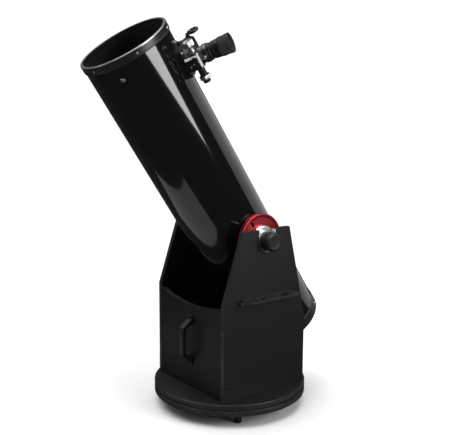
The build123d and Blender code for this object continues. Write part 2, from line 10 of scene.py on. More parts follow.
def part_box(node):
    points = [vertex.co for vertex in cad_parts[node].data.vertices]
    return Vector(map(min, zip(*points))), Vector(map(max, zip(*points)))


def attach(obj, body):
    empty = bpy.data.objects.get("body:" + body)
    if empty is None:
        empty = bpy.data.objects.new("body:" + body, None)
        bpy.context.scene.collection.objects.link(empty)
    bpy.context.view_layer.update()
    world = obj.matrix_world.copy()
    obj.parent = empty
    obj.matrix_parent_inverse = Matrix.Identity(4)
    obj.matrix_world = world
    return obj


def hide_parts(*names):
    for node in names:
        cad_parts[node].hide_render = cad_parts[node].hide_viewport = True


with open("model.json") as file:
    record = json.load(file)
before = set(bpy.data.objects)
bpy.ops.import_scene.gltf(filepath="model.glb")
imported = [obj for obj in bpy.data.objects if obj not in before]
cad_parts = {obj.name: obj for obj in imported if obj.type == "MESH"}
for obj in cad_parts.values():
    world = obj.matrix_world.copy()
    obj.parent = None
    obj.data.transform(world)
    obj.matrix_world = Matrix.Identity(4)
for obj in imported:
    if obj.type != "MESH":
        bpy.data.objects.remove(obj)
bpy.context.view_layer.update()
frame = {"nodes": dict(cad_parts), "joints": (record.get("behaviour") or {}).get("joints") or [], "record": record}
joints = {joint["name"]: joint for joint in frame["joints"]}
mm = 0.001
weld = 1e-6  # corners closer than this are one corner
crease = 32  # degrees: sharper edges stay hard, and bevels go there


# One output socket that can be used in sums.
class Wire:
    def __init__(self, finish, socket):
        self.finish = finish
        self.socket = socket

    def sum(self, operation, first, second):
        return self.finish.node("Math", {"operation": operation}, {0: first, 1: second})

    def __add__(self, other):
        return self.sum("ADD", self, other)

    def __sub__(self, other):
        return self.sum("SUBTRACT", self, other)

    def __mul__(self, other):
        return self.sum("MULTIPLY", self, other)

    def __rsub__(self, other):
        return self.sum("SUBTRACT", other, self)

    __radd__ = __add__
    __rmul__ = __mul__


class Finish:
    def __init__(self, name, constants):
        self.material = bpy.data.materials.new(name)
        self.material.use_nodes = True
        self.tree = self.material.node_tree
        self.shader = self.tree.nodes["Principled BSDF"]
        for label, value in constants.items():
            self.shader.inputs[label].default_value = value
        self.where = self.node("TexCoord", out="Object")

    def node(self, kind, settings=None, values=None, out=0):
        made = self.tree.nodes.new("ShaderNode" + kind)
        for label, value in (settings or {}).items():
            if label == "stops":
                self.fillRamp(made.color_ramp, value)
            else:
                setattr(made, label, value)
        for label, value in (values or {}).items():
            self.join(value, made.inputs[label])
        return Wire(self, made.outputs[out])

    def fillRamp(self, ramp, stops):
        while len(ramp.elements) < len(stops):
            ramp.elements.new(0.5)
        for element, (place, colour) in zip(ramp.elements, stops):
            element.position = place
            element.color = colour

    def join(self, value, socket):
        if isinstance(value, Wire):
            self.tree.links.new(value.socket, socket)
        else:
            socket.default_value = value

    def feed(self, label, value):
        self.join(value, self.shader.inputs[label])

    def noise(self, scale, detail=3.0, rough=0.55):
        values = {"Vector": self.where, "Scale": scale, "Detail": detail, "Roughness": rough}
        return self.node("TexNoise", None, values)

    # Colours low to high along a 0 to 1 mask.
    def blotch(self, mask, low, high):
        ramp = {"stops": [(0.0, (*low, 1)), (1.0, (*high, 1))]}
        return self.node("ValToRGB", ramp, {0: mask})

    # Spreads low to high of a value over 0 to 1.
    def clamped(self, value, low, high):
        values = {"Value": value, "From Min": low, "From Max": high}
        return self.node("MapRange", {"clamp": True}, values)

    def bump(self, height, strength, distance):
        values = {"Height": height, "Strength": strength, "Distance": distance}
        return self.node("Bump", None, values)

    # Distance from an axis, and distance along it.
    def turned(self, origin, direction):
        offset = self.vector("SUBTRACT", self.where, tuple(origin))
        along = self.vector("DOT_PRODUCT", offset, tuple(direction), out=1)
        flat = self.vector("SUBTRACT", offset, self.scaled(tuple(direction), along))
        return self.vector("LENGTH", flat, None, out=1), along

    def vector(self, operation, first, second, out=0):
        values = {0: first} if second is None else {0: first, 1: second}
        return self.node("VectorMath", {"operation": operation}, values, out)

    def scaled(self, vector, amount):
        values = {"Vector": vector, "Scale": amount}
        return self.node("VectorMath", {"operation": "SCALE"}, values)


def nodePoints(node):
    return [vertex.co for vertex in frame["nodes"][node].data.vertices]


# Where a node starts and ends along a line, in mm.
def ends(node, origin, direction):
    reaches = [(point - origin).dot(direction) for point in nodePoints(node)]
    return min(reaches) / mm, max(reaches) / mm


# Radius of a node round a line, in mm.
def girth(node, origin, direction):
    offsets = [point - origin for point in nodePoints(node)]
    return max((offset - direction * offset.dot(direction)).length for offset in offsets) / mm


# A placement whose Z runs along up and whose X lies near side.
def framing(origin, up, side):
    across = up.cross(side).normalized()
    side = across.cross(up)
    return Matrix((
        (side.x, across.x, up.x, origin.x),
        (side.y, across.y, up.y, origin.y),
        (side.z, across.z, up.z, origin.z),
        (0, 0, 0, 1),
    ))


sideways = Vector((1, 0, 0))
rearward = Vector((0, 1, 0))
ground = Vector((0, 0, 0))
# axes of the moving parts, read from the frame
pivot = Vector(joints["altitude_tilt"]["pos_m"])
tubeAxis = Vector(joints["fan_spin"]["axis"]).normalized()
focusAxis = Vector(joints["drawtube_travel"]["axis"]).normalized()
drawLow, drawHigh = ends("drawtube", pivot, tubeAxis)
focusFoot = pivot + tubeAxis * (drawLow + drawHigh) / 2 * mm
shaftPoint = Vector(joints["coarse_focus_turn"]["pos_m"])
# placements whose Z runs along each of those axes
tubePlace = framing(pivot, tubeAxis, sideways)
focusPlace = framing(focusFoot, focusAxis, tubeAxis)  # X up the tube, Y to the near side
shaftPlace = framing(shaftPoint, tubeAxis, focusAxis)
rightPlace = framing(pivot, sideways, tubeAxis)
leftPlace = framing(pivot, -sideways, tubeAxis)


def boardFinish():
    look = {"base": (0.004, 0.0039, 0.0039), "fleck": (0.0105, 0.0102, 0.0102), "grain": 1500,
            "pebble": 420, "smudge": 7, "rough": 0.37, "gloss": 0.42, "tooth": 0.22, "depth": 0.0003}
    made = Finish("boardLaminate", {"Specular IOR Level": look["gloss"]})
    grain = made.noise(look["grain"], 2)
    flecks = made.clamped(grain, 0.55, 0.78)
    smudge = made.noise(look["smudge"], 4)
    mask = flecks * 0.7 + smudge * 0.12
    made.feed("Base Color", made.blotch(mask, look["base"], look["fleck"]))
    made.feed("Roughness", smudge * 0.1 + grain * 0.1 + look["rough"])
    relief = grain + made.noise(look["pebble"], 2) * 0.6
    made.feed("Normal", made.bump(relief, look["tooth"], look["depth"]))
    return made.material


def boardEdgeFinish():
    look = {"base": (0.014, 0.0138, 0.0136), "worn": (0.034, 0.033, 0.032), "wear": 60,
            "grain": 900, "rough": 0.34, "gloss": 0.45, "tooth": 0.12, "depth": 0.0002}
    made = Finish("boardEdgeBand", {"Specular IOR Level": look["gloss"]})
    wear = made.clamped(made.noise(look["wear"], 5), 0.45, 0.8)
    made.feed("Base Color", made.blotch(wear, look["base"], look["worn"]))
    made.feed("Roughness", wear * 0.12 + look["rough"])
    made.feed("Normal", made.bump(made.noise(look["grain"], 2), look["tooth"], look["depth"]))
    return made.material


def tubePaint():
    look = {"low": (0.0022, 0.0021, 0.002), "high": (0.0042, 0.004, 0.0039), "cloud": 3, "drift": 5,
            "peel": 95, "rough": 0.075, "coatRough": 0.03, "gloss": 0.5, "tooth": 0.03, "depth": 0.0006}
    constants = {"Coat Roughness": look["coatRough"], "Specular IOR Level": look["gloss"]}
    made = Finish("tubeGlossPaint", constants)
    drift = made.noise(look["drift"], 4)
    made.feed("Base Color", made.blotch(made.noise(look["cloud"], 2), look["low"], look["high"]))
    made.feed("Roughness", drift * 0.05 + look["rough"])
    made.feed("Coat Weight", made.clamped(drift, -0.4, 0.9))
    made.feed("Normal", made.bump(made.noise(look["peel"], 2), look["tooth"], look["depth"]))
    return made.material


# Enamel, flat lining or ground glass: one noise for its tone and one for its tooth.
def toothedFinish(name, look):
    made = Finish(name, {"Specular IOR Level": look["gloss"]})
    grain = made.noise(look["grain"], 3)
    made.feed("Base Color", made.blotch(made.noise(look["tone"], 3), look["low"], look["high"]))
    made.feed("Roughness", grain * look["drift"] + look["rough"])
    made.feed("Normal", made.bump(grain, look["tooth"], look["depth"]))
    return made.material


# Turned metal with fine rings round its axis, or a plain brushing where no axis is given.
def metalFinish(name, colour, dark, rough, lines, origin=None, direction=None):
    look = {"stain": 24, "tooth": 0.3, "depth": 0.00006}
    made = Finish(name, {"Metallic": 1.0})
    if origin is None:
        marks = made.noise(lines, 3)
    else:
        radius, along = made.turned(origin, direction)
        values = {"W": radius + along, "Scale": lines, "Detail": 2.0}
        marks = made.node("TexNoise", {"noise_dimensions": "1D"}, values)
    stain = made.noise(look["stain"], 4)
    mask = made.clamped(stain + marks * 0.3, 0.3, 0.95)
    made.feed("Base Color", made.blotch(mask, dark, colour))
    made.feed("Roughness", marks * 0.12 + stain * 0.08 + rough)
    made.feed("Normal", made.bump(marks, look["tooth"], look["depth"]))
    return made.material


# Bead-blasted or moulded surface with a fine even tooth.
def blastedFinish(name, low, high, rough, metal, grain=1100, depth=0.00015, strength=0.25):
    made = Finish(name, {"Metallic": metal, "Specular IOR Level": 0.5})
    tooth = made.noise(grain, 2)
    drift = made.noise(30, 4)
    made.feed("Base Color", made.blotch(made.clamped(drift, 0.3, 0.7), low, high))
    made.feed("Roughness", tooth * 0.1 + drift * 0.1 + rough)
    made.feed("Normal", made.bump(tooth, strength, depth))
    return made.material


def mirrorCoat():
    look = {"clean": (0.93, 0.94, 0.95), "dusty": (0.78, 0.79, 0.8), "dust": 260, "rough": 0.015}
    made = Finish("mirrorCoating", {"Metallic": 1.0})
    dust = made.clamped(made.noise(look["dust"], 5), 0.62, 0.85)
    made.feed("Base Color", made.blotch(1 - dust, look["dusty"], look["clean"]))
    made.feed("Roughness", dust * 0.12 + look["rough"])
    return made.material


def lensGlass(name, tint):
    look = {"Transmission Weight": 1.0, "IOR": 1.52, "Coat Tint": (*tint, 1), "Base Color": (*tint, 1)}
    made = Finish(name, look)
    made.feed("Roughness", made.clamped(made.noise(300, 4), 0.55, 2.4) + 0.01)
    return made.material


laminate = boardFinish()
edgeBand = boardEdgeFinish()
glossPaint = tubePaint()
flatLining = toothedFinish("tubeFlatLining", {
    "low": (0.012, 0.0115, 0.011), "high": (0.03, 0.029, 0.028), "tone": 1300, "grain": 1300,
    "drift": 0.15, "rough": 0.6, "gloss": 0.3, "tooth": 0.35, "depth": 0.0004})
ringEnamel = toothedFinish("ringSatinEnamel", {
    "low": (0.007, 0.0066, 0.0062), "high": (0.014, 0.0131, 0.0125), "tone": 16, "grain": 700,
    "drift": 0.14, "rough": 0.26, "gloss": 0.5, "tooth": 0.12, "depth": 0.0002})
rimBright = metalFinish("rimBright", (0.62, 0.6, 0.58), (0.42, 0.4, 0.39), 0.22, 2400, pivot, tubeAxis)
steel = metalFinish("fastenerSteel", (0.7, 0.7, 0.7), (0.48, 0.48, 0.49), 0.2, 1800)
silverTurned = metalFinish("silverTurned", (0.86, 0.86, 0.87),
                           (0.62, 0.62, 0.63), 0.2, 2600, pivot, sideways)
knobSilver = metalFinish("focusKnobSilver", (0.88, 0.88, 0.88),
                         (0.64, 0.64, 0.64), 0.22, 3000, shaftPoint, tubeAxis)
satinPlate = blastedFinish("satinPlate", (0.66, 0.66, 0.67), (0.8, 0.8, 0.81), 0.34, 0.15, 1500)
redTurned = metalFinish("redAnodised", (0.5, 0.05, 0.07), (0.32, 0.03, 0.042), 0.33, 1900, pivot,
                        sideways)
blackAlloy = blastedFinish("blackAnodised", (0.008, 0.008, 0.009), (0.017, 0.017, 0.018), 0.3, 0.55)
drawAlloy = metalFinish("drawtubeBlack", (0.16, 0.16, 0.164),
                        (0.07, 0.07, 0.072), 0.24, 2600, focusFoot, focusAxis)
blackPlastic = blastedFinish("blackMoulded", (0.004, 0.004, 0.0041),
                             (0.009, 0.009, 0.0092), 0.34, 0.0, 900)
softRubber = blastedFinish("softRubber", (0.009, 0.0088, 0.0086),
                           (0.02, 0.0195, 0.019), 0.62, 0.0, 1400)
whiteSlip = blastedFinish("whiteSlipPlastic", (0.6, 0.6, 0.57), (0.74, 0.74, 0.71), 0.4, 0.0, 600)
castBlack = blastedFinish("castBlackEnamel", (0.011, 0.011, 0.011),
                          (0.026, 0.026, 0.026), 0.42, 0.0, 500, 0.0004, 0.4)
rackPowder = blastedFinish("rackPowderCoat", (0.01, 0.01, 0.0102),
                           (0.018, 0.018, 0.0184), 0.38, 0.0, 800, 0.0004, 0.45)
fanPlastic = blastedFinish("fanPlastic", (0.012, 0.012, 0.0125), (0.022, 0.022, 0.0225), 0.3, 0.0, 700)
coating = mirrorCoat()
groundGlass = toothedFinish("mirrorGroundGlass", {
    "low": (0.42, 0.5, 0.47), "high": (0.58, 0.65, 0.62), "tone": 500, "grain": 500,
    "drift": 0.2, "rough": 0.35, "gloss": 0.5, "tooth": 0.2, "depth": 0.0002})
eyeGlass = lensGlass("eyeLensGlass", (0.72, 0.82, 0.95))
sightGlass = lensGlass("sightGlass", (0.95, 0.82, 0.8))
print("finishes made")

bodyNodes = frame["record"]["behaviour"]["bodies"]
bodies = {node: body for body, nodes in bodyNodes.items() for node in nodes}


def fillMesh(mesh, bm):
    bmesh.ops.remove_doubles(bm, verts=bm.verts, dist=weld)
    bmesh.ops.recalc_face_normals(bm, faces=bm.faces)
    bm.to_mesh(mesh)
    bm.free()


def finishPiece(name, body, bm, finishes, nodes=(), bevel=0.0, edgeAngle=crease, segments=2):
    mesh = bpy.data.meshes.new(name)
    fillMesh(mesh, bm)
    for finish in finishes:
        mesh.materials.append(finish)
    mesh.shade_smooth()
    mesh.set_sharp_from_angle(angle=math.radians(edgeAngle))
    piece = bpy.data.objects.new(name, mesh)
    bpy.context.scene.collection.objects.link(piece)
    if bevel:
        rounding = piece.modifiers.new("edges", "BEVEL")
        rounding.width = bevel
        rounding.segments = segments
        rounding.limit_method = "ANGLE"
        rounding.angle_limit = math.radians(edgeAngle)
        rounding.harden_normals = True
    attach(piece, body)
    if nodes:
        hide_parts(*nodes)
    return piece


# Spins a closed outline of (radius, height) pairs in mm. marks gives some stretches a finish
# of their own, and flutes cuts a wave into the points from first to last.
def lathe(bm, profile, place, steps=96, finish=0, marks=None, flutes=None):
    rings = []
    for step in range(steps):
        angle = 2 * math.pi * step / steps
        ring = []
        for index, (radius, height) in enumerate(profile):
            if flutes and flutes["first"] <= index <= flutes["last"]:
                wave = 0.5 - 0.5 * math.cos(flutes["count"] * angle)
                radius -= flutes["depth"] * wave ** flutes["sharp"]
            spot = Vector((radius * math.cos(angle), radius * math.sin(angle), height)) * mm
            ring.append(bm.verts.new(place @ spot))
        rings.append(ring)
    for step in range(steps):
        ring, following = rings[step], rings[(step + 1) % steps]
        for index in range(len(profile)):
            after = (index + 1) % len(profile)
            startsOnAxis, endsOnAxis = profile[index][0] < weld, profile[after][0] < weld
            if startsOnAxis and endsOnAxis:
                continue
            corners = [ring[index], following[index], following[after], ring[after]]
            if startsOnAxis:
                corners = [ring[index], following[after], ring[after]]
            if endsOnAxis:
                corners = [ring[index], following[index], ring[after]]
            face = bm.faces.new(corners)
            face.material_index = (marks or {}).get(index, finish)
    return bm


# A flat plate from a 2D outline, with any holes as further outlines, in mm.
def slab(bm, outlines, low, high, place, finish=0, edgeFinish=None):
    outlines = [[Vector((x, y, 0)) for x, y in outline] for outline in outlines]
    flat = [corner for outline in outlines for corner in outline]
    layers = []
    for height in (low, high):
        layer = [bm.verts.new(place @ (Vector((c.x, c.y, height)) * mm)) for c in flat]
        layers.append(layer)
        for triangle in tessellate_polygon(outlines):
            face = bm.faces.new([layer[i] for i in triangle])
            face.material_index = finish
    start = 0
    for outline in outlines:
        count = len(outline)
        for i in range(count):
            a, b = start + i, start + (i + 1) % count
            face = bm.faces.new([layers[0][a], layers[0][b], layers[1][b], layers[1][a]])
            face.material_index = finish if edgeFinish is None else edgeFinish
        start += count
    flatEnough = 0.01  # radians
    bmesh.ops.dissolve_limit(bm, angle_limit=flatEnough, verts=bm.verts, edges=bm.edges,
                             delimit={"MATERIAL"})
    return bm


# Cuts a closed bmesh out of a piece and keeps the result as the piece's mesh.
def carve(piece, cutting):
    mesh = bpy.data.meshes.new("cutter")
    fillMesh(mesh, cutting)
    cutter = bpy.data.objects.new("cutter", mesh)
    bpy.context.scene.collection.objects.link(cutter)
    cut = piece.modifiers.new("cut", "BOOLEAN")
    cut.operation = "DIFFERENCE"
    cut.object = cutter
    cut.solver = "EXACT"
    graph = bpy.context.evaluated_depsgraph_get()
    carved = bpy.data.meshes.new_from_object(piece.evaluated_get(graph))
    piece.modifiers.remove(cut)
    piece.data = carved
    carved.shade_smooth()
    carved.set_sharp_from_angle(angle=math.radians(crease))
    bpy.data.objects.remove(cutter)


# Outline points from (inset, rise) pairs: inwards from a radius, and up or down from a height.
def stepped(radius, height, pairs, way=1):
    return [(radius - inset, height + way * rise) for inset, rise in pairs]


# Points on an arc in degrees.
def arc(centre, radius, start, end, steps):
    turns = [math.radians(start + (end - start) * i / steps) for i in range(steps + 1)]
    return [(centre[0] + radius * math.cos(t), centre[1] + radius * math.sin(t)) for t in turns]


def circle(centre, radius, steps=48):
    return arc(centre, radius, 0, 360 - 360 / steps, steps - 1)


# Rounds every corner of a convex outline whose corners run anticlockwise.
def rounded(corners, radius, steps=6):
    points = []
    count = len(corners)
    for i, corner in enumerate(corners):
        here = Vector(corner)
        back = (Vector(corners[i - 1]) - here).normalized()
        ahead = (Vector(corners[(i + 1) % count]) - here).normalized()
        half = back.angle(ahead) / 2
        nearHalf = 0.49 * (Vector(corners[i - 1]) - here).length  # keeps two roundings apart
        setBack = min(radius / math.tan(half), nearHalf)
        first, last = here + back * setBack, here + ahead * setBack
        for step in range(steps + 1):
            t = step / steps
            points.append(tuple(first * (1 - t) ** 2 + here * 2 * t * (1 - t) + last * t * t))
    return points


# Side outline of a board with a hole, both rims rounded.
def edgeRounded(hole, radius, low, high, rounding=2.0, steps=4):
    turns = [math.radians(90 * i / steps) for i in range(steps + 1)]
    lower = [(1 - math.sin(t), 1 - math.cos(t)) for t in turns]
    upper = [(1 - math.cos(t), 1 - math.sin(t)) for t in turns]
    profile = [(hole, low)]
    profile += stepped(radius, low, [(x * rounding, y * rounding) for x, y in lower])
    profile += stepped(radius, high, [(x * rounding, y * rounding) for x, y in upper], -1)
    return profile + [(hole, high)]


def roundBoard(name, node, body, hole):
    low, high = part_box(node)
    radius = (high.x - low.x) / 2 / mm
    profile = edgeRounded(hole, radius, low.z / mm, high.z / mm)
    band = {index: 1 for index in range(1, len(profile) - 2)}
    bm = lathe(bmesh.new(), profile, Matrix(), 160, 0, band)
    finishPiece(name, body, bm, [laminate, edgeBand], [node])


# Middle of the foot that stands furthest along +X.
def footCentre():
    points = [point for point in nodePoints("feet") if point.x > 0.1 and point.z < 0.001]
    return sum(points, Vector()) / len(points)


def makeFeet():
    foot = {"count": 3, "firstAngle": -30, "sole": 11.2, "flare": 0.8, "waist": 12.6, "waistStart": 3.5,
            "top": 13.5, "topStart": 4, "ribs": 3, "firstRib": 7, "ribPitch": 4,
            "rib": [(0, 0), (0.9, 0.8), (0.9, 1.6), (0, 2.4)]}
    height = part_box("ground_board")[0].z / mm
    circleRadius = (Vector(joints["azimuth_turn"]["pos_m"]).xy - footCentre().xy).length
    sole, flare, waist, top = foot["sole"], foot["flare"], foot["waist"], foot["top"]
    profile = [(0, 0), (sole, 0), (sole + flare, flare), (waist, foot["waistStart"])]
    for rib in range(foot["ribs"]):
        profile += stepped(waist, foot["firstRib"] + rib * foot["ribPitch"], foot["rib"])
    profile += [(top, height - foot["topStart"]), (top, height), (0, height)]
    bm = bmesh.new()
    for turn in range(foot["count"]):
        angle = math.radians(foot["firstAngle"] + 360 / foot["count"] * turn)
        spot = Vector((circleRadius * math.cos(angle), circleRadius * math.sin(angle), 0))
        lathe(bm, profile, Matrix.Translation(spot), 40)
    finishPiece("rubberFeet", "ground", bm, [softRubber], ["feet"])


# Corners of a side panel in mm, as (y, z), with the round notch for the drum.
def panelOutline(node):
    nearly, arcSteps = 0.5, 28
    low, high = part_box(node)
    flat = [(p.y / mm, p.z / mm) for p in nodePoints(node)]
    top = max(z for y, z in flat)
    topYs = [y for y, z in flat if z > top - nearly]
    front, rear, foot = low.y / mm, high.y / mm, low.z / mm
    frontKink = max(z for y, z in flat if y < front + nearly)
    rearKink = max(z for y, z in flat if y > rear - nearly)
    linerLow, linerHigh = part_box("cradle_liners")
    notch = (linerHigh.y - linerLow.y) / 2 / mm
    middle = (linerHigh.y + linerLow.y) / 2 / mm
    outline = [(front, foot), (rear, foot), (rear, rearKink)]
    outline += [(max(topYs), top), (middle + notch, top)]
    outline += arc((middle, pivot.z / mm), notch, 0, -180, arcSteps)
    outline += [(middle - notch, top), (min(topYs), top), (front, frontKink)]
    return outline


def sidePanel(name, node):
    low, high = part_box(node)
    place = framing(ground, sideways, rearward)
    bm = slab(bmesh.new(), [panelOutline(node)], low.x / mm, high.x / mm, place, 0, 1)
    finishPiece(name, "rocker", bm, [laminate, edgeBand], [node], 1.3 * mm, crease, 3)


def frontPanel():
    scoopAt = {"middle": 0.03, "below": 0.04, "steps": 40}  # where the scoop's lowest point is read
    low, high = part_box("front_panel")
    half = high.x / mm
    corner = high.z / mm
    heights = [p.z for p in nodePoints("front_panel")
               if abs(p.x) < scoopAt["middle"] and p.z > high.z - scoopAt["below"]]
    dip = min(heights) / mm
    radius = (half ** 2 + (corner - dip) ** 2) / 2 / (corner - dip)
    swing = math.degrees(math.asin(half / radius))
    scoop = arc((0, dip + radius), radius, -90 + swing, -90 - swing, scoopAt["steps"])
    outline = [(-half, low.z / mm), (half, low.z / mm)] + scoop
    place = framing(ground, -rearward, sideways)
    bm = slab(bmesh.new(), [outline], -high.y / mm, -low.y / mm, place, 0, 1)
    finishPiece("frontPanel", "rocker", bm, [laminate, edgeBand], ["front_panel"],
                1.2 * mm, crease, 3)


# Pull handle: a flat foot at each end and a bar that stands off the panel.
def carryHandle():
    handle = {"foot": 5, "footLength": 17, "shoulder": 12, "shoulderAt": 18, "elbow": 43, "thick": 15,
              "grip": 36, "gripElbow": 51, "gripStep": 8, "round": 4.2}
    low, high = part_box("carry_handle")
    face, outermost = -high.y / mm, -low.y / mm
    bottom, top = low.z / mm, high.z / mm
    foot, shoulder = face + handle["foot"], face + handle["shoulder"]
    inner, step = outermost - handle["thick"], face + handle["gripStep"]
    # from one end of the handle to its middle: along the outside, then along the grip hole
    outside = [(face, 0), (foot, 0), (foot, handle["footLength"]), (shoulder, handle["shoulderAt"]),
               (outermost, handle["elbow"])]
    inside = [(face, handle["grip"]), (step, handle["grip"]), (inner, handle["gripElbow"])]
    outline = [(y, top - z) for y, z in outside] + [(y, bottom + z) for y, z in reversed(outside)]
    outline += [(y, bottom + z) for y, z in inside] + [(y, top - z) for y, z in reversed(inside)]
    place = framing(ground, -sideways, -rearward)
    bm = slab(bmesh.new(), [outline], -high.x / mm, -low.x / mm, place)
    finishPiece("carryHandle", "rocker", bm, [blackPlastic], ["carry_handle"],
                handle["round"] * mm, 20, 4)


# Folded plate with three small holes and one large one.
def eyepieceRack():
    rack = {"thick": 3, "corner": 12, "lip": 0.5, "fold": 0.6, "round": 0.7, "holeSteps": 56}
    low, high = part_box("eyepiece_shelf")
    left, right = low.y / mm, high.y / mm
    inner, outer = low.x / mm, high.x / mm - rack["lip"]
    bottom, top = low.z / mm, high.z / mm
    plan = rounded([(inner, left), (outer, left), (outer, right), (inner, right)], rack["corner"])
    plan = [p for p in plan if p[0] > inner + rack["corner"]]
    holes = []
    for mount in frame["record"]["mounts"]:
        if mount["name"].startswith("rack_hole"):
            x, y, _ = mount["pos_m"]
            holes.append(circle((x / mm, y / mm), mount["dims"]["r_mm"], rack["holeSteps"]))
    plate = [(inner, left)] + plan + [(inner, right)]
    bm = slab(bmesh.new(), [plate] + holes, top - rack["thick"], top, Matrix())
    edge = top - rack["fold"]
    flange = [(left, bottom), (right, bottom), (right, edge), (left, edge)]
    slab(bm, [flange], inner, inner + rack["thick"], framing(ground, sideways, rearward))
    finishPiece("eyepieceRack", "rocker", bm, [rackPowder], ["eyepiece_shelf"],
                rack["round"] * mm, 40, 2)


roundBoard("groundBoard", "ground_board", "ground", 6)
roundBoard("rockerBoard", "rocker_board", "rocker", 6.3)
makeFeet()
sidePanel("sidePanelRight", "side_panel_right")
sidePanel("sidePanelLeft", "side_panel_left")
frontPanel()
carryHandle()
eyepieceRack()
print("rocker box made")


def tubeShell():
    tube = {"wall": 1.2, "stations": 12, "steps": 256, "hole": 30, "cut": (100, 200)}
    low, high = ends("optical_tube", pivot, tubeAxis)
    outer = girth("optical_tube", pivot, tubeAxis)
    count = tube["stations"]
    stations = [low + (high - low) * i / count for i in range(count + 1)]
    profile = [(outer, s) for s in stations]
    profile += [(outer - tube["wall"], s) for s in reversed(stations)]
    lined = {index: 1 for index in range(count, len(profile))}
    bm = lathe(bmesh.new(), profile, tubePlace, tube["steps"], 0, lined)
    shell = finishPiece("tubeShell", "tube", bm, [glossPaint, flatLining], ["optical_tube"])
    start, end = tube["cut"]
    drill = [(0, start), (tube["hole"], start), (tube["hole"], end), (0, end)]
    carve(shell, lathe(bmesh.new(), drill, focusPlace, 64, 1))


# Cast ring: rolled outer skirt, bright turned rim and a lip inside the tube.
def endRing(name, node, flip):
    rim = {"wall": 152.0, "lip": 145.0, "cap": 2.5, "round": 2.2, "bright": 1.2, "steps": 5,
           "skirt": [(1.2, 0), (0.3, 0.4), (0, 1.4), (0, 4), (0.7, 4.7), (0.7, 5.9), (0, 6.6)],
           "inside": [(-1.2, 0), (-0.3, 0.4), (0, 1.2)]}
    low, high = ends(node, pivot, tubeAxis)
    near, far = (-high, -low) if flip else (low, high)
    outer = girth(node, pivot, tubeAxis)
    turn = rim["round"]
    profile = [(rim["wall"], near)] + stepped(outer, near, rim["skirt"])
    profile += [(outer, far - turn - rim["bright"]), (outer, far - turn)]
    brightFrom = len(profile) - 2
    for i in range(1, rim["steps"] + 1):
        t = math.radians(90 * i / rim["steps"])
        profile.append((outer - turn + turn * math.cos(t), far - turn + turn * math.sin(t)))
    brightTo = len(profile)
    profile += stepped(rim["lip"], far, rim["inside"], -1)
    profile += [(rim["lip"], far - rim["cap"]), (rim["wall"], far - rim["cap"])]
    bright = {index: 1 for index in range(brightFrom, brightTo)}
    place = framing(pivot, -tubeAxis, sideways) if flip else tubePlace
    bm = lathe(bmesh.new(), profile, place, 256, 0, bright)
    finishPiece(name, "tube", bm, [ringEnamel, rimBright], [node])


def primaryMirror():
    mirror = {"curve": 2500.0, "chamfer": 1.2, "heel": 1, "rings": 14}
    low, face = ends("primary_mirror", pivot, tubeAxis)
    radius = girth("primary_mirror", pivot, tubeAxis)
    clear = radius - mirror["chamfer"]
    heel = mirror["heel"]
    profile = [(0, low), (radius - heel, low), (radius, low + heel), (radius, face - mirror["chamfer"])]
    frosted = {index: 1 for index in range(len(profile))}
    for i in range(mirror["rings"] + 1):
        away = clear * (1 - i / mirror["rings"])
        profile.append((away, face - (clear ** 2 - away ** 2) / 2 / mirror["curve"]))
    bm = lathe(bmesh.new(), profile, tubePlace, 128, 0, frosted)
    finishPiece("primaryMirror", "tube", bm, [coating, groundGlass], ["primary_mirror"])


tubeShell()
endRing("frontRing", "front_ring", False)
endRing("rearRing", "rear_ring", True)
primaryMirror()
print("tube made")


# One disc with raised rim, grooves and the bore for its drum; its axis is the placement's Z.
def bearingSide(place):
    disc = {"bore": 8, "floor": 4.0, "steps": 144,
            "back": [(1.4, 0), (0.4, 0.4), (0, 1.4), (0, 6), (0.8, 6.8), (0.8, 8.2), (0, 9)],
            "rim": [(0, 1.6), (0.5, 0.5), (1.6, 0), (7.5, 0), (8.5, 0.5), (9.1, 3.4), (10.5, 4.0)],
            "grooves": (76, 67, 58), "groove": [(-1.5, 0), (-0.8, 1.4), (0.8, 1.4), (1.5, 0)]}
    far = ends("altitude_discs", pivot, sideways)[1]
    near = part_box("altitude_saddles")[1].x / mm
    outer = girth("altitude_discs", pivot, sideways)
    floor = far - disc["floor"]
    profile = [(disc["bore"], near)] + stepped(outer, near, disc["back"])
    profile += stepped(outer, far, disc["rim"], -1)
    for groove in disc["grooves"]:
        profile += stepped(groove, floor, disc["groove"], -1)
    profile += [(disc["bore"], floor)]
    return lathe(bmesh.new(), profile, place, disc["steps"])


def altitudeDiscs():
    slot = {"length": 24, "width": 9, "ahead": 66, "cut": (150, 180)}
    half, end = (slot["length"] - slot["width"]) / 2, slot["width"] / 2
    outline = arc((slot["ahead"] + half, 0), end, -90, 90, 12)
    outline += arc((slot["ahead"] - half, 0), end, 90, 270, 12)
    for name, place in (("redDiscRight", rightPlace), ("redDiscLeft", leftPlace)):
        piece = finishPiece(name, "tube", bearingSide(place), [redTurned], ["altitude_discs"])
        carve(piece, slab(bmesh.new(), [outline], *slot["cut"], place))


def altitudeHubs():
    hub = {"bore": 5.05, "flange": 52, "drum": 34.9, "chamfer": 1, "sunk": 4, "cover": 0.5,
           "edge": [(0, 3), (0.9, 2.1), (2.2, 0.4), (3.4, 0)]}
    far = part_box("altitude_hubs")[1].x / mm
    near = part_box("altitude_discs")[1].x / mm - hub["sunk"]
    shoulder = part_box("bearing_bolts")[1].x / mm + hub["cover"]
    bore, drum, chamfer = hub["bore"], hub["drum"], hub["chamfer"]
    profile = [(bore, near), (hub["flange"], near)] + stepped(hub["flange"], shoulder, hub["edge"], -1)
    profile += [(drum, shoulder), (drum, far - chamfer), (drum - chamfer, far), (bore, far)]
    for name, place in (("silverHubRight", rightPlace), ("silverHubLeft", leftPlace)):
        bm = lathe(bmesh.new(), profile, place, 96)
        finishPiece(name, "tube", bm, [silverTurned], ["altitude_hubs"], 0, 28)


